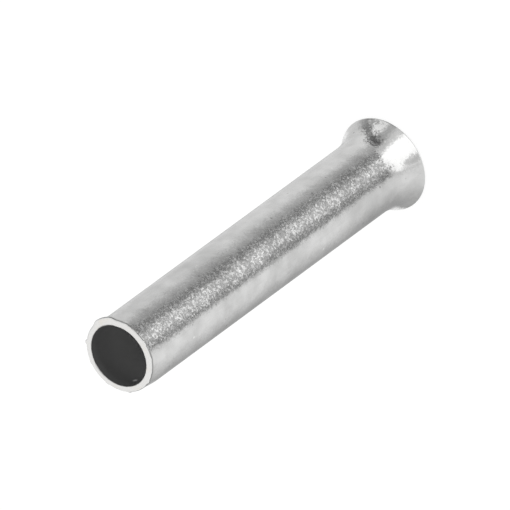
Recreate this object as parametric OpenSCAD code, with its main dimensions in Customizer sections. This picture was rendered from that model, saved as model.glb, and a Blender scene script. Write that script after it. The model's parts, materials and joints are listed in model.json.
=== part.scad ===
// Bare wire ferrule: one seamless tinned copper tube with a drawn bell mouth.
// It stands on its mouth, with the tube's axis on Z and the cut end on top.

/* [Tube] */
// Length from the mouth to the cut end
length = 18; // [10:0.5:32]
// Diameter of the bore that takes the stranded wire
bore_d = 2.6; // [1.4:0.1:5]
// Thickness of the drawn copper wall
wall = 0.26; // [0.2:0.01:0.4]

/* [Bell mouth] */
// Height of the bell, from the mouth to where the barrel turns straight
bell_h = 1.55; // [1:0.05:3]
// How far the mouth's rounded edge stands out past the barrel, on the radius
bell_spread = 0.42; // [0.2:0.01:0.7]
// Rounding of the mouth's two edges
lip_r = 0.05; // [0.02:0.01:0.08]

/* [Cut end] */
// Rounding of the cut end's two edges
edge_r = 0.05; // [0.02:0.01:0.08]
// How far the burr left by the cut stands out past the barrel
burr_out = 0.1; // [0.04:0.01:0.15]
// Width of the burr across the barrel
burr_w = 1.1; // [0.7:0.1:1.3]
// Height of the burr along the barrel
burr_h = 0.1; // [0.06:0.01:0.3]
// Direction of the burr round the tube, in degrees
burr_angle = 344; // [0:1:359]

/* [Hidden] */
$fn = 128;
bore_r = bore_d / 2;
barrel_r = bore_r + wall;
mouth_r = barrel_r + bell_spread;

// Height from the centres of the mouth's roundings up to the bell's top
lip_drop = bell_h - lip_r;

// Outer face of the bell: one arc, tangent to the barrel and to the outer rounding
lip_out_x = mouth_r - lip_r;
bell_r = (pow(lip_out_x - barrel_r, 2) + pow(lip_drop, 2) - pow(lip_r, 2)) / (2 * bell_spread);
bell_centre_x = barrel_r + bell_r;

// Inner face of the bell: the same arc one wall further in, with its own rounding
lip_in_x = bell_centre_x - sqrt(pow(bell_r + wall - lip_r, 2) - pow(lip_drop, 2));

// Burr: a disc whose rim leaves the barrel over burr_w and reaches burr_out past it
burr_rise = barrel_r + burr_out - sqrt(pow(barrel_r, 2) - pow(burr_w / 2, 2));
burr_disc_r = (pow(burr_w / 2, 2) + pow(burr_rise, 2)) / (2 * burr_rise);
burr_disc_x = barrel_r + burr_out - burr_disc_r;

// What lies outside a rounded corner, with the rounding's centre at the origin
// and its two faces met in the directions from_angle and to_angle
module corner_waste(r, from_angle, to_angle) {
    half = (to_angle - from_angle) / 2;
    middle = from_angle + half;
    reach = 2 * r;
    tip = reach / cos(half);
    difference() {
        polygon([
            [0, 0],
            [reach * cos(from_angle), reach * sin(from_angle)],
            [tip * cos(middle), tip * sin(middle)],
            [reach * cos(to_angle), reach * sin(to_angle)]
        ]);
        circle(r);
    }
}

// Half section of the bell: a strip of one wall's thickness between two arcs
module bell_section() {
    intersection() {
        square([mouth_r + wall, bell_h]);
        translate([bell_centre_x, bell_h]) {
            difference() {
                circle(bell_r + wall);
                circle(bell_r);
            }
        }
    }
}

// Half section of the whole sleeve, with its four edges rounded
module sleeve_section() {
    difference() {
        union() {
            bell_section();
            translate([bore_r, bell_h]) square([wall, length - bell_h]);
        }
        translate([lip_out_x, lip_r])
            corner_waste(lip_r, -90, atan2(lip_drop, bell_centre_x - lip_out_x));
        translate([lip_in_x, lip_r])
            corner_waste(lip_r, 180 + atan2(lip_drop, bell_centre_x - lip_in_x), 270);
        translate([barrel_r - edge_r, length - edge_r]) corner_waste(edge_r, 0, 90);
        translate([bore_r + edge_r, length - edge_r]) corner_waste(edge_r, 90, 180);
    }
}

// Burr that the cut has pushed out on one side of the end, tapered down to the barrel
module cut_burr() {
    difference() {
        rotate([0, 0, burr_angle])
            translate([burr_disc_x, 0, length - 2 * burr_h])
                cylinder(h = 2 * burr_h, r1 = burr_disc_r - 2 * burr_out, r2 = burr_disc_r);
        translate([0, 0, length - 3 * burr_h]) cylinder(h = 4 * burr_h, r = barrel_r - wall / 2);
    }
}

module sleeve() {
    color([0.78, 0.78, 0.77]) {
        rotate_extrude() sleeve_section();
        cut_burr();
    }
}

sleeve();
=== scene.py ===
"""A bare wire ferrule of tinned copper: one tube, belled at its mouth and cut plain at the other end."""

import json
import math

import bmesh
import bpy
from mathutils import Matrix, Vector


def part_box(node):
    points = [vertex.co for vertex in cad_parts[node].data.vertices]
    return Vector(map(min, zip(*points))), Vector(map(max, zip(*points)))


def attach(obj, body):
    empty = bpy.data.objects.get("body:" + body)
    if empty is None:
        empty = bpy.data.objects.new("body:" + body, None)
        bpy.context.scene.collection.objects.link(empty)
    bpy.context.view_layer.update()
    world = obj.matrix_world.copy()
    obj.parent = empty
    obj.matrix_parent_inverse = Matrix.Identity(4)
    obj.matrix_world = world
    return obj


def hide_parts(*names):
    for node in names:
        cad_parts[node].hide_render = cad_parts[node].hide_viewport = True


MM = 0.001

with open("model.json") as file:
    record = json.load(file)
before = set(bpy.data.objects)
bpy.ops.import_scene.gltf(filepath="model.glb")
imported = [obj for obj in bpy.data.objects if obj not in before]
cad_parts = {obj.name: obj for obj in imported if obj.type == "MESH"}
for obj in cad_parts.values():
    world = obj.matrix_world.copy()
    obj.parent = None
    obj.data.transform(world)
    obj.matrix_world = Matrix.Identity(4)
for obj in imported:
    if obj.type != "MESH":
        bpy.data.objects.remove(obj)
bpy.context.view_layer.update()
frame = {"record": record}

# Sizes of the sleeve, taken from the frame
mounts = {mount["name"]: mount for mount in frame["record"]["mounts"]}
low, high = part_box("sleeve")
LENGTH = high[2]
MOUTH_R = high[0]
BARREL_R = mounts["barrel"]["dims"]["r_mm"] * MM
BORE_R = mounts["wire_bore"]["dims"]["r_mm"] * MM
BARREL_LENGTH = mounts["barrel"]["dims"]["length_mm"] * MM
BELL_H = mounts["barrel"]["pos_m"][2] - BARREL_LENGTH / 2
WALL = BARREL_R - BORE_R
EDGE_R = 0.05 * MM

# How finely the sleeve is modelled
SIDES = 192
BELL_STEPS = 10
BARREL_STEPS = 56
CUT_STEPS = 12
CUT_LENGTH = 1.2 * MM
EDGE_SEGMENTS = 4
SHARP_ANGLE = math.radians(35)

# How far from each end the bore's painted shade reaches before its tin turns pale, and how far below the cut
# end its painted shadow line reaches
BORE_SHADE_REACH = 2.9 * MM
SHADOW_LINE_REACH = 0.085 * MM

# The finishes: how rough each is, how many cells or waves its detail has to a metre, and how deep it is
TIN_ROUGHNESS = 0.17
CUT_ROUGHNESS = 0.35
BORE_ROUGHNESS = 0.5
GRAINS = 16000
GRAIN_TILT = (0.055, 0.055, 0.092)
RIPPLES = 1300
RIPPLE_DEPTH = 22e-6
WAVES = 500
WAVE_DEPTH = 24e-6
DRAW_LINES = 9000
DRAW_LINE_STRETCH = (1, 1, 0.08)
DRAW_LINE_SHARE = 0.12
SMUDGES = 1500
BROAD_SMUDGES = 330
SPECKS = 2800
SPECK_PATCHES = 900
CUT_STAINS = 1600
CUT_GRIT = 9000
CUT_GRIT_DEPTH = 6e-6
BORE_CLOUDS = 900
BORE_SPECKS = 1500
BORE_SPECK_PATCHES = 420
BORE_GRIT = 2500
BORE_GRIT_DEPTH = 12e-6

# Their colours
DARK_TIN = (0.51, 0.51, 0.505, 1)
PALE_TIN = (0.73, 0.73, 0.725, 1)
DRAW_LINE_TIN = (0.4, 0.4, 0.4, 1)
DARK_SPECK = (0.34, 0.34, 0.335, 1)
PALE_SPECK = (0.85, 0.85, 0.84, 1)
# Painted shade: a shadow line behind the cut end's rim, and shade on the front of its rounded lip
SHADOW_LINE_GREY = (0.44, 0.44, 0.435, 1)
LIP_SHADE_GREY = (0.3, 0.3, 0.295, 1)
CUT_PALE = (0.66, 0.655, 0.645, 1)
CUT_COPPER = (0.66, 0.6, 0.5, 1)
BLACK = (0, 0, 0, 1)

# The bore's grey, painted darker towards both ends as shade: by the cut end, deep inside, by the bell, in its
# specks, and how much its clouds vary it
BORE_SHADE_BY_CUT = 0.06
BORE_DEEP = 0.42
BORE_SHADE_BY_BELL = 0.1
BORE_SPECK = 0.5
BORE_CLOUD = 0.02

# Darker patches on the tin: a patch's middle in mm, its squeeze along the tube, its radius, and its darkening
DARKER_PATCHES = [
    ((-1.4, -0.7, 2.4), 0.5, 1.5 * MM, 0.2),
    ((0.9, -1.25, 17), 0.09, 1.5 * MM, 0.13),
]

# What the cutter did to the cut end: it pushed the rim aside, and left a burr, small nibs and a ragged edge
RIM_SHIFT = Vector((0.062, 0, 0)) * MM
RIM_REACH = 0.8 * MM
HOLE_SHIFT = Vector((0.005, 0.055, 0)) * MM
HOLE_REACH = 0.22 * MM
BURR_BEARING = -16
BURR_HALF_WIDTH = 15
BURR_OUT = 0.085 * MM
BURR_REACH = 0.3 * MM
NIBS = [
    (40, 0.07 * MM),
    (73, 0.02 * MM),
    (112, 0.03 * MM),
    (151, 0.025 * MM),
    (196, 0.035 * MM),
    (237, 0.02 * MM),
    (263, 0.03 * MM),
    (302, 0.02 * MM),
]
NIB_HALF_WIDTH = 2
NIB_REACH = 0.11 * MM
RAGGED = 0.005 * MM

# The cut end lies above this height, its outer edge beyond the first radius and its inner one within the second
CUT_END = LENGTH - EDGE_R * 1.01
OUTER_EDGE = BARREL_R - EDGE_R * 1.01
INNER_EDGE = BORE_R + EDGE_R * 1.01

# The floor: its size, how far it lies below the mouth, its grey, and its glow to the camera
FLOOR_SIZE = 2
FLOOR_GAP = 0.02 * MM
FLOOR_GREY = 0.3
FLOOR_GLOW = 0.75

# How bright the parts of the studio are, where 1 is white
GREY_WALL = 0.44
LEFT_LIGHT = 1.0
FRONT_WALL = 0.72
RIGHT_WALL = 0.57
RIGHT_LIGHT = 0.95
FAR_RIGHT_LIGHT = 0.85
WHITE_WALL_BEHIND = 1.1
WALL_ABOVE_TABLE = 0.76
TABLE_EDGE = 0.15
CEILING = 1.2
CORNER = 0.5
SIDE_PANEL = 1.18
CARD = 0.1
CARD_FAR_END = 0.24
CAMERA_CARD = 0.15
PANEL_SKIRT = 0.85
PANEL = 1.6
PANEL_SAG = 0.0075
STAND = 0.74

# The camera's place, seen from the middle of the tube
VIEW_RISE = math.radians(44.93)
VIEW_ROLL = math.radians(-126.29)
VIEW_DISTANCE = 0.85
VIEW_WIDTH = 19.88 * MM
AIM_ACROSS = 0.1 * MM
AIM_ALONG = -0.175 * MM


def start_editing(mode):
    """Edit mode on the active piece, with nothing selected."""
    bpy.ops.object.mode_set(mode="EDIT")
    bpy.ops.mesh.select_mode(type=mode)
    bpy.ops.mesh.select_all(action="DESELECT")


def select(piece, kind, wanted):
    """Selects the vertices, edges or faces of the piece in edit mode whose element passes the test."""
    mesh = bmesh.from_edit_mesh(piece.data)
    for element in getattr(mesh, kind):
        element.select_set(bool(wanted(element)))
    mesh.select_flush_mode()
    bmesh.update_edit_mesh(piece.data)


def radius_of(point):
    """Distance of a point from the tube's axis."""
    return math.hypot(point.x, point.y)


def apply_modifier(piece, kind, **settings):
    """Adds a modifier to the piece and applies it."""
    modifier = piece.modifiers.new(kind.title(), kind)
    for name, value in settings.items():
        setattr(modifier, name, value)
    bpy.ops.object.modifier_apply(modifier=modifier.name)


def bell_arc():
    """Radius of the arc that flares the bell, so that its rounded lip stands at the mouth's radius."""
    rim = MOUTH_R - BARREL_R - EDGE_R
    drop = BELL_H - EDGE_R
    return (rim**2 + drop**2 - EDGE_R**2) / (2 * (MOUTH_R - BARREL_R))


def bell_radius(height):
    """Radius of the bell's outer face at a height above the mouth: one arc, tangent to the barrel."""
    return BARREL_R + bell_arc() - math.sqrt(bell_arc() ** 2 - (BELL_H - height) ** 2)


def extrude_ring(piece, step, scale):
    """Extrudes the selected end ring of the tube, and moves and scales the new one."""
    bpy.ops.mesh.extrude_region_move(TRANSFORM_OT_translate={"value": (0, 0, step)})
    ring = [v.co for v in bmesh.from_edit_mesh(piece.data).verts if v.select]
    height = sum(co.z for co in ring) / len(ring)
    bpy.ops.transform.resize(value=(scale, scale, 1), center_override=(0, 0, height))


def draw_tube():
    """The outer skin: a ring at the bell's top, drawn up into the barrel and flared down to the mouth."""
    bpy.ops.object.select_all(action="DESELECT")
    bpy.ops.mesh.primitive_circle_add(vertices=SIDES, radius=BARREL_R, location=(0, 0, BELL_H))
    piece = bpy.context.object
    piece.name = "drawn_sleeve"
    bpy.ops.object.transform_apply(location=True, rotation=True, scale=True)
    start_editing("VERT")
    bpy.ops.mesh.select_all(action="SELECT")
    for _ in range(BARREL_STEPS):
        extrude_ring(piece, (LENGTH - CUT_LENGTH - BELL_H) / BARREL_STEPS, 1)
    for _ in range(CUT_STEPS):
        extrude_ring(piece, CUT_LENGTH / CUT_STEPS, 1)
    select(piece, "verts", lambda v: abs(v.co.z - BELL_H) < EDGE_R / 10)
    # Two steps more than the bell needs, so that the mouth can be cut square
    step = BELL_H / BELL_STEPS
    height = BELL_H
    for _ in range(BELL_STEPS + 2):
        scale = bell_radius(height - step) / bell_radius(height)
        extrude_ring(piece, -step, scale)
        height -= step
    bpy.ops.mesh.select_all(action="SELECT")
    bpy.ops.mesh.normals_make_consistent(inside=False)
    bpy.ops.object.mode_set(mode="OBJECT")
    return piece


def thicken_wall(piece):
    """Gives the skin its wall, cuts the mouth square, closes both ends and rounds their four edges."""
    apply_modifier(piece, "SOLIDIFY", thickness=WALL, offset=-1, use_rim=False, use_even_offset=True)
    start_editing("EDGE")
    bpy.ops.mesh.select_all(action="SELECT")
    bpy.ops.mesh.bisect(plane_co=(0, 0, 0), plane_no=(0, 0, 1), clear_inner=True, threshold=EDGE_R / 1000)
    for end in (0, LENGTH):
        select(piece, "edges", lambda e: e.is_boundary and all(abs(v.co.z - end) < EDGE_R for v in e.verts))
        bpy.ops.mesh.bridge_edge_loops()
    bpy.ops.mesh.select_all(action="SELECT")
    bpy.ops.mesh.normals_make_consistent(inside=False)
    # The bell leans out at its mouth, so the lip is sharp outside and blunt inside before it is rounded
    lean = math.asin((BELL_H - EDGE_R) / bell_arc())
    mouth_middle = bell_radius(0) - WALL / 2
    round_edge(piece, 0, (mouth_middle, 2 * MOUTH_R), math.pi / 2 - lean)
    round_edge(piece, 0, (0, mouth_middle), math.pi / 2 + lean)
    round_edge(piece, LENGTH, (0, 2 * MOUTH_R), math.pi / 2)
    bpy.ops.object.mode_set(mode="OBJECT")


def round_edge(piece, height, radii, corner):
    """Rounds the edges round the tube at a height, between two radii, where faces meet at a corner."""

    def wanted(edge):
        lengthwise = [abs(v.co.z - height) for v in edge.verts]
        outward = [radius_of(v.co) for v in edge.verts]
        runs_round = abs(outward[0] - outward[1]) < WALL / 10
        return max(lengthwise) < EDGE_R / 100 and runs_round and radii[0] < outward[0] < radii[1]

    select(piece, "edges", wanted)
    reach = EDGE_R / math.tan(corner / 2)
    bpy.ops.mesh.bevel(
        offset=reach,
        offset_type="OFFSET",
        segments=EDGE_SEGMENTS,
        profile=0.5,
        affect="EDGES",
    )


def push(direction, reach):
    """Moves what is selected, and what lies within reach of it with a smooth falloff."""
    bpy.ops.transform.translate(
        value=direction,
        use_proportional_edit=True,
        proportional_edit_falloff="SMOOTH",
        proportional_size=reach,
        use_proportional_connected=True,
    )


def push_edge_out(piece, bearing, half_width, outward, reach):
    """Pulls the cut end's outer edge outwards round one bearing, counted in degrees from +X."""
    middle = Vector((math.cos(math.radians(bearing)), math.sin(math.radians(bearing)), 0))
    cosine = math.cos(math.radians(half_width))

    def wanted(vertex):
        at_edge = vertex.co.z > CUT_END and radius_of(vertex.co) > OUTER_EDGE
        return at_edge and vertex.co.dot(middle) > cosine * radius_of(vertex.co)

    select(piece, "verts", wanted)
    push(middle * outward, reach)


def wear_cut_end(piece):
    """Puts the cutter's marks on the cut end."""
    start_editing("VERT")
    push_edge_out(piece, BURR_BEARING, BURR_HALF_WIDTH, BURR_OUT, BURR_REACH)
    for bearing, outward in NIBS:
        push_edge_out(piece, bearing, NIB_HALF_WIDTH, outward, NIB_REACH)
    select(piece, "verts", lambda v: v.co.z > CUT_END and radius_of(v.co) < INNER_EDGE)
    push(HOLE_SHIFT, HOLE_REACH)
    select(piece, "verts", lambda v: v.co.z > CUT_END)
    bpy.ops.transform.vertex_random(offset=RAGGED, uniform=0.6, normal=0, seed=3)
    push(RIM_SHIFT, RIM_REACH)
    bpy.ops.object.mode_set(mode="OBJECT")


def make_sleeve():
    """The whole sleeve as one closed mesh, in place of the CAD solid."""
    piece = draw_tube()
    thicken_wall(piece)
    for material in (bright_tin(), cut_metal(), bore_tin()):
        piece.data.materials.append(material)
    paint_faces(piece, 1, is_cut_face)
    paint_faces(piece, 2, is_bore_face)
    wear_cut_end(piece)
    bpy.ops.object.shade_smooth_by_angle(angle=SHARP_ANGLE)
    return piece


def is_cut_face(face):
    """True for the flat of the cut end and for its rounded inner edge."""
    centre = face.calc_center_median()
    return centre.z > LENGTH - EDGE_R / 2 and radius_of(centre) < BARREL_R - EDGE_R


def is_bore_face(face):
    """True for a face of the bore above the bell."""
    centre = face.calc_center_median()
    return BELL_H < centre.z < LENGTH - EDGE_R / 2 and face.normal.dot(Vector((centre.x, centre.y, 0))) < 0


def paint_faces(piece, slot, wanted):
    """Gives the faces that pass the test the material in that slot."""
    start_editing("FACE")
    select(piece, "faces", wanted)
    piece.active_material_index = slot
    bpy.ops.object.material_slot_assign()
    bpy.ops.object.mode_set(mode="OBJECT")


def link_or_set(tree, socket, value):
    """Joins another node's output to the socket, or writes a plain number into it."""
    if isinstance(value, bpy.types.NodeSocket):
        tree.links.new(value, socket)
    else:
        socket.default_value = value


def calculate(tree, operation, first, second=0.0):
    """A maths node on one or two values."""
    node = tree.nodes.new("ShaderNodeMath")
    node.operation = operation
    link_or_set(tree, node.inputs[0], first)
    link_or_set(tree, node.inputs[1], second)
    return node.outputs[0]


def step_up(tree, value, start, end):
    """Rises softly from 0 to 1 as the value goes from start to end."""
    node = tree.nodes.new("ShaderNodeMapRange")
    node.interpolation_type = "SMOOTHSTEP"
    link_or_set(tree, node.inputs["Value"], value)
    node.inputs["From Min"].default_value = start
    node.inputs["From Max"].default_value = end
    return node.outputs["Result"]


def between(tree, value, start, end, soft):
    """1 between start and end, with soft edges outside them."""
    rise = step_up(tree, value, start - soft, start)
    fall = step_up(tree, value, end + soft, end)
    return calculate(tree, "MULTIPLY", rise, fall)


def blend_numbers(tree, share, first, second):
    """The first number where share is 0, and the second where it is 1."""
    node = tree.nodes.new("ShaderNodeMix")
    node.data_type = "FLOAT"
    link_or_set(tree, node.inputs["Factor"], share)
    link_or_set(tree, node.inputs["A"], first)
    link_or_set(tree, node.inputs["B"], second)
    return node.outputs["Result"]


def coordinates(tree, vector):
    """A vector's X, Y and Z, by name."""
    node = tree.nodes.new("ShaderNodeSeparateXYZ")
    tree.links.new(vector, node.inputs[0])
    return node.outputs


def vector_maths(tree, operation, first, second=(0, 0, 0)):
    """A maths node on one or two vectors."""
    node = tree.nodes.new("ShaderNodeVectorMath")
    node.operation = operation
    link_or_set(tree, node.inputs[0], first)
    link_or_set(tree, node.inputs[1], second)
    return node.outputs["Vector"]


def dot_product(tree, first, second):
    """The dot product of two vectors."""
    node = tree.nodes.new("ShaderNodeVectorMath")
    node.operation = "DOT_PRODUCT"
    tree.links.new(first, node.inputs[0])
    tree.links.new(second, node.inputs[1])
    return node.outputs["Value"]


def new_metal(name, roughness):
    """A metal without its colour, its shader and the piece's own coordinates, to add detail to."""
    material = bpy.data.materials.new(name)
    material.use_nodes = True
    shader = material.node_tree.nodes["Principled BSDF"]
    shader.inputs["Metallic"].default_value = 1
    shader.inputs["Roughness"].default_value = roughness
    place = material.node_tree.nodes.new("ShaderNodeTexCoord").outputs["Object"]
    return material, shader, place


def noise(tree, place, scale, detail=2.0):
    """A noise of a given scale, from 0 to 1."""
    node = tree.nodes.new("ShaderNodeTexNoise")
    node.inputs["Scale"].default_value = scale
    node.inputs["Detail"].default_value = detail
    link_or_set(tree, node.inputs["Vector"], place)
    return node.outputs["Fac"]


def cells(tree, place, scale):
    """A pattern of random cells, so many to a metre."""
    node = tree.nodes.new("ShaderNodeTexVoronoi")
    node.inputs["Scale"].default_value = scale
    tree.links.new(place, node.inputs["Vector"])
    return node


def bump(tree, height, distance, normal=None):
    """Turns a height into a bent normal, on top of another one."""
    node = tree.nodes.new("ShaderNodeBump")
    node.inputs["Strength"].default_value = 1.0
    node.inputs["Distance"].default_value = distance
    tree.links.new(height, node.inputs["Height"])
    if normal:
        tree.links.new(normal, node.inputs["Normal"])
    return node.outputs["Normal"]


def blend_colours(tree, share, first, second):
    """The first colour where share is 0, and the second where it is 1."""
    node = tree.nodes.new("ShaderNodeMix")
    node.data_type = "RGBA"
    link_or_set(tree, node.inputs["Factor"], share)
    link_or_set(tree, node.inputs["A"], first)
    link_or_set(tree, node.inputs["B"], second)
    return node.outputs["Result"]


def bright_tin():
    """Tin plating: fine grains that each tilt a little, on a drawn face that is not quite even, with painted
    shade at the cut end.
    """
    material, shader, place = new_metal("bright_tin", TIN_ROUGHNESS)
    tree = material.node_tree
    tree.links.new(grainy_normal(tree, place), shader.inputs["Normal"])
    colour = smudged_tin(tree, place)
    colour = darken_patches(tree, place, colour)
    colour = drawn(tree, place, colour)
    colour = specked(tree, place, colour)
    # The last step paints shade at the cut end
    tree.links.new(painted_shade_at_cut_end(tree, place, colour), shader.inputs["Base Color"])
    return material


def grainy_normal(tree, place):
    """The tin's face: each grain's tilt, on top of ripples and of slower waves."""
    grains = cells(tree, place, GRAINS)
    tilt = vector_maths(tree, "SUBTRACT", grains.outputs["Color"], (0.5, 0.5, 0.5))
    tilt = vector_maths(tree, "MULTIPLY", tilt, GRAIN_TILT)
    waves = bump(tree, noise(tree, place, WAVES), WAVE_DEPTH)
    uneven = bump(tree, noise(tree, place, RIPPLES, 3.0), RIPPLE_DEPTH, waves)
    lean = vector_maths(tree, "ADD", uneven, tilt)
    return vector_maths(tree, "NORMALIZE", lean)


def smudged_tin(tree, place):
    """The tin's own grey, smudged at two scales."""
    smudge = calculate(tree, "ADD", noise(tree, place, SMUDGES, 5.0), noise(tree, place, BROAD_SMUDGES))
    return blend_colours(tree, step_up(tree, smudge, 0.5, 1.5), DARK_TIN, PALE_TIN)


def darken_patches(tree, place, colour):
    """Darkens the colour in the listed patches."""
    for centre, stretch, radius, amount in DARKER_PATCHES:
        offset = vector_maths(tree, "SUBTRACT", place, [number * MM for number in centre])
        offset = vector_maths(tree, "MULTIPLY", offset, (1, 1, stretch))
        distance = calculate(tree, "SQRT", dot_product(tree, offset, offset))
        patch_darkness = calculate(tree, "MULTIPLY", step_up(tree, distance, radius, 0), amount)
        colour = blend_colours(tree, patch_darkness, colour, BLACK)
    return colour


def drawn(tree, place, colour):
    """Lays the faint lines that drawing leaves along the tube."""
    lengthwise = vector_maths(tree, "MULTIPLY", place, DRAW_LINE_STRETCH)
    lines = step_up(tree, noise(tree, lengthwise, DRAW_LINES, 3.0), 0.52, 0.75)
    share = calculate(tree, "MULTIPLY", lines, DRAW_LINE_SHARE)
    return blend_colours(tree, share, colour, DRAW_LINE_TIN)


def specked(tree, place, colour):
    """Scatters dark and pale specks in patches."""
    dots = cells(tree, place, SPECKS)
    dot = step_up(tree, dots.outputs["Distance"], 0.2, 0.06)
    chosen = calculate(tree, "GREATER_THAN", noise(tree, place, SPECK_PATCHES, 0.0), 0.6)
    pale = step_up(tree, dots.outputs["Color"], 0.5, 0.52)
    dot_colour = blend_colours(tree, pale, DARK_SPECK, PALE_SPECK)
    return blend_colours(tree, calculate(tree, "MULTIPLY", dot, chosen), colour, dot_colour)


def painted_shade_at_cut_end(tree, place, colour):
    """Paints shade: a shadow line behind the cut end, and shade on its rounded lip on the front side."""
    parts = coordinates(tree, place)
    # A painted shadow line all round, just behind the cut end's rim
    line = between(tree, parts["Z"], LENGTH - SHADOW_LINE_REACH, LENGTH - EDGE_R, EDGE_R / 4)
    colour = blend_colours(tree, line, colour, SHADOW_LINE_GREY)
    # Painted shade on the rounded lip, on the front side only
    lip = between(tree, parts["Z"], LENGTH - EDGE_R, LENGTH - EDGE_R / 3, EDGE_R / 8)
    lip = calculate(tree, "MULTIPLY", lip, step_up(tree, parts["Y"], 0, -0.4 * MM))
    return blend_colours(tree, lip, colour, LIP_SHADE_GREY)


def cut_metal():
    """The sheared end: paler and duller than the tin, with a hint of the copper under it."""
    material, shader, place = new_metal("cut_metal", CUT_ROUGHNESS)
    tree = material.node_tree
    copper = step_up(tree, noise(tree, place, CUT_STAINS), 0.55, 0.9)
    tree.links.new(blend_colours(tree, copper, CUT_PALE, CUT_COPPER), shader.inputs["Base Color"])
    grit = bump(tree, noise(tree, place, CUT_GRIT), CUT_GRIT_DEPTH)
    tree.links.new(grit, shader.inputs["Normal"])
    return material


def bore_tin():
    """The bore's tin: matt, painted darker near both ends as shade, with a few pale specks."""
    material, shader, place = new_metal("bore_tin", BORE_ROUGHNESS)
    shader.inputs["Metallic"].default_value = 0
    tree = material.node_tree
    height = coordinates(tree, place)["Z"]
    cloud = calculate(tree, "MULTIPLY", noise(tree, place, BORE_CLOUDS), BORE_CLOUD)
    # Painted shade: near-black by the cut end and by the bell, paler deep inside
    shade_by_cut = calculate(tree, "ADD", cloud, BORE_SHADE_BY_CUT)
    deep = calculate(tree, "ADD", cloud, BORE_DEEP)
    tone = blend_numbers(tree, step_up(tree, height, LENGTH, LENGTH - BORE_SHADE_REACH), shade_by_cut, deep)
    shade_by_bell = step_up(tree, height, BELL_H + BORE_SHADE_REACH, BELL_H)
    tone = blend_numbers(tree, shade_by_bell, tone, BORE_SHADE_BY_BELL)
    dots = cells(tree, place, BORE_SPECKS)
    chosen = calculate(tree, "GREATER_THAN", noise(tree, place, BORE_SPECK_PATCHES, 0.0), 0.58)
    speck = calculate(tree, "MULTIPLY", step_up(tree, dots.outputs["Distance"], 0.22, 0.12), chosen)
    tree.links.new(blend_numbers(tree, speck, tone, BORE_SPECK), shader.inputs["Base Color"])
    grit = bump(tree, noise(tree, place, BORE_GRIT, 4.0), BORE_GRIT_DEPTH)
    tree.links.new(grit, shader.inputs["Normal"])
    return material


def lay_floor():
    """A plain white floor under the mouth."""
    bpy.ops.object.select_all(action="DESELECT")
    bpy.ops.mesh.primitive_plane_add(size=FLOOR_SIZE, location=(0, 0, -FLOOR_GAP))
    floor = bpy.context.object
    floor.name = "white_floor"
    floor.visible_glossy = False
    material = bpy.data.materials.new("white_paper")
    material.use_nodes = True
    nodes, links = material.node_tree.nodes, material.node_tree.links
    nodes.clear()
    output = nodes.new("ShaderNodeOutputMaterial")
    total = nodes.new("ShaderNodeAddShader")
    paper = nodes.new("ShaderNodeBsdfDiffuse")
    paper.inputs["Color"].default_value = (FLOOR_GREY, FLOOR_GREY, FLOOR_GREY, 1)
    glow = nodes.new("ShaderNodeEmission")
    path = nodes.new("ShaderNodeLightPath")
    strength = calculate(material.node_tree, "MULTIPLY", path.outputs["Is Camera Ray"], FLOOR_GLOW)
    links.new(strength, glow.inputs["Strength"])
    links.new(paper.outputs[0], total.inputs[0])
    links.new(glow.outputs[0], total.inputs[1])
    # Seen from below the paper is clear, so that the mouth shows
    sides = nodes.new("ShaderNodeMixShader")
    links.new(nodes.new("ShaderNodeNewGeometry").outputs["Backfacing"], sides.inputs[0])
    links.new(total.outputs[0], sides.inputs[1])
    links.new(nodes.new("ShaderNodeBsdfTransparent").outputs[0], sides.inputs[2])
    links.new(sides.outputs[0], output.inputs["Surface"])
    floor.data.materials.append(material)


def wall_by_bearing(tree, bearing):
    """The wall round the sleeve: grey behind, a broad soft light on each side, and plainer in front."""
    level = blend_numbers(tree, step_up(tree, bearing, -155, -70), GREY_WALL, LEFT_LIGHT)
    level = blend_numbers(tree, step_up(tree, bearing, -50, -40), level, FRONT_WALL)
    level = blend_numbers(tree, step_up(tree, bearing, 40, 58), level, RIGHT_WALL)
    level = blend_numbers(tree, step_up(tree, bearing, 55, 90), level, RIGHT_LIGHT)
    level = blend_numbers(tree, step_up(tree, bearing, 100, 130), level, FAR_RIGHT_LIGHT)
    return blend_numbers(tree, step_up(tree, bearing, 150, 180), level, GREY_WALL)


def add_room(tree, level, bearing, rise):
    """The white wall behind, the table and its dark edge in front, and the ceiling."""
    behind = step_up(tree, calculate(tree, "ABSOLUTE", bearing), 150, 165)
    behind = calculate(tree, "MULTIPLY", behind, step_up(tree, rise, -45, -39))
    level = blend_numbers(tree, behind, level, WHITE_WALL_BEHIND)
    above_table = between(tree, bearing, -36, 42, 8)
    above_table = calculate(tree, "MULTIPLY", step_up(tree, rise, -38, -28), above_table)
    level = blend_numbers(tree, above_table, level, WALL_ABOVE_TABLE)
    edge_ends = calculate(tree, "MULTIPLY", step_up(tree, bearing, -44, -35), step_up(tree, bearing, 61, 38))
    table_edge = calculate(tree, "MULTIPLY", between(tree, rise, -47.5, -42, 2), edge_ends)
    level = blend_numbers(tree, table_edge, level, TABLE_EDGE)
    return blend_numbers(tree, step_up(tree, rise, 15, 35), level, CEILING)


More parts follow.
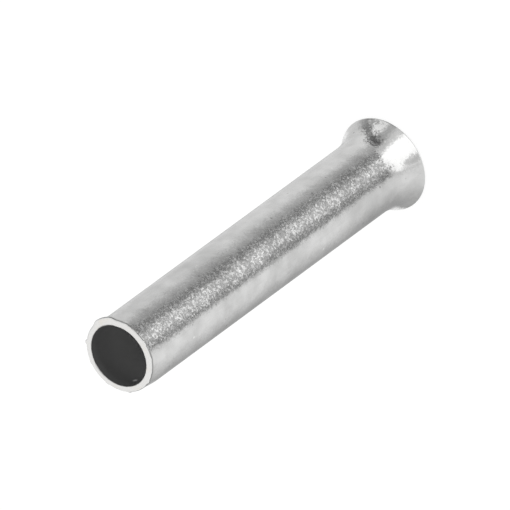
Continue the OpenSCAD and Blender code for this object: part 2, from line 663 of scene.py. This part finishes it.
def add_side(tree, level, bearing, rise):
    """To one side a darker corner, a small panel that slants across it, and a long dark card below."""
    corner = calculate(tree, "MULTIPLY", between(tree, bearing, 46, 92, 6), step_up(tree, rise, -26, -16))
    corner = calculate(tree, "MULTIPLY", corner, step_up(tree, rise, 24, 10))
    level = blend_numbers(tree, corner, level, CORNER)
    slant = calculate(tree, "ADD", rise, calculate(tree, "MULTIPLY", bearing, 0.5))
    side_panel = between(tree, slant, 24, 37, 3)
    side_panel = calculate(tree, "MULTIPLY", between(tree, bearing, 63, 85, 5), side_panel)
    level = blend_numbers(tree, side_panel, level, SIDE_PANEL)
    card_line = blend_numbers(tree, step_up(tree, bearing, 72, 104), -25, -13)
    card_gap = calculate(tree, "ABSOLUTE", calculate(tree, "SUBTRACT", rise, card_line))
    card_across = step_up(tree, bearing, 140, 98)
    card_across = calculate(tree, "MULTIPLY", step_up(tree, bearing, 40, 48), card_across)
    card = calculate(tree, "MULTIPLY", card_across, step_up(tree, card_gap, 12, 4))
    card_level = blend_numbers(tree, step_up(tree, bearing, 66, 84), CARD, CARD_FAR_END)
    return blend_numbers(tree, card, level, card_level)


def add_soft_panel(tree, level, bearing, rise):
    """The soft panel in front, curving up to both sides, with a dimmer skirt and a stand over one corner."""
    panel_across = between(tree, bearing, -31, 18, 12)
    panel_across = calculate(tree, "MULTIPLY", panel_across, step_up(tree, rise, 26, 20))
    sag = calculate(tree, "MULTIPLY", calculate(tree, "POWER", bearing, 2), PANEL_SAG)
    panel_rise = calculate(tree, "SUBTRACT", rise, sag)
    skirt = calculate(tree, "MULTIPLY", panel_across, step_up(tree, panel_rise, -48, -45))
    level = blend_numbers(tree, skirt, level, PANEL_SKIRT)
    panel = calculate(tree, "MULTIPLY", panel_across, step_up(tree, panel_rise, -43, -39))
    level = blend_numbers(tree, panel, level, PANEL)
    stand = calculate(tree, "MULTIPLY", between(tree, bearing, -33, -25, 5), step_up(tree, rise, -17, -10))
    return blend_numbers(tree, stand, level, STAND)


def light_studio():
    """A white studio. Only the metal shows its wall, panels and cards, placed by bearing and rise."""
    world = bpy.data.worlds.new("white_studio")
    bpy.context.scene.world = world
    world.use_nodes = True
    world.cycles.sampling_method = "NONE"
    tree = world.node_tree
    tree.nodes.clear()
    direction = coordinates(tree, tree.nodes.new("ShaderNodeTexCoord").outputs["Generated"])
    # Bearing is counted in degrees from the front, and rise from level
    forward = calculate(tree, "MULTIPLY", direction["Y"], -1)
    bearing = calculate(tree, "DEGREES", calculate(tree, "ARCTAN2", direction["X"], forward))
    rise = calculate(tree, "DEGREES", calculate(tree, "ARCSINE", direction["Z"]))

    level = wall_by_bearing(tree, bearing)
    level = add_room(tree, level, bearing, rise)
    level = add_side(tree, level, bearing, rise)
    # A second dark card hides the camera
    towards = calculate(tree, "ADD", forward, direction["Z"])
    level = blend_numbers(tree, step_up(tree, towards, 1.25, 1.31), level, CAMERA_CARD)
    level = add_soft_panel(tree, level, bearing, rise)

    path = tree.nodes.new("ShaderNodeLightPath")
    shown = blend_numbers(tree, path.outputs["Is Glossy Ray"], 1.0, level)
    background = tree.nodes.new("ShaderNodeBackground")
    background.inputs["Color"].default_value = (1, 1, 1, 1)
    tree.links.new(shown, background.inputs["Strength"])
    output = tree.nodes.new("ShaderNodeOutputWorld")
    tree.links.new(background.outputs[0], output.inputs["Surface"])


def place_camera():
    """Looks down on the cut end from the front, rolled so that the tube lies across the picture."""
    across = Vector((1, 0, 0))
    along = Vector((0, math.sin(VIEW_RISE), math.cos(VIEW_RISE)))
    back = Vector((0, -math.cos(VIEW_RISE), math.sin(VIEW_RISE)))
    aim = Vector((0, 0, LENGTH / 2)) + across * AIM_ACROSS + along * AIM_ALONG
    data = bpy.data.cameras.new("camera")
    data.lens = data.sensor_width * VIEW_DISTANCE / VIEW_WIDTH
    camera = bpy.data.objects.new("camera", data)
    bpy.context.scene.collection.objects.link(camera)
    camera.location = aim + back * VIEW_DISTANCE
    tilt = Matrix.Rotation(math.pi / 2 - VIEW_RISE, 3, "X")
    camera.rotation_euler = (tilt @ Matrix.Rotation(VIEW_ROLL, 3, "Z")).to_euler()
    bpy.context.scene.camera = camera


sleeve = make_sleeve()
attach(sleeve, "root")
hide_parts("sleeve")
lay_floor()
light_studio()
place_camera()
bpy.context.scene.view_settings.view_transform = "Standard"
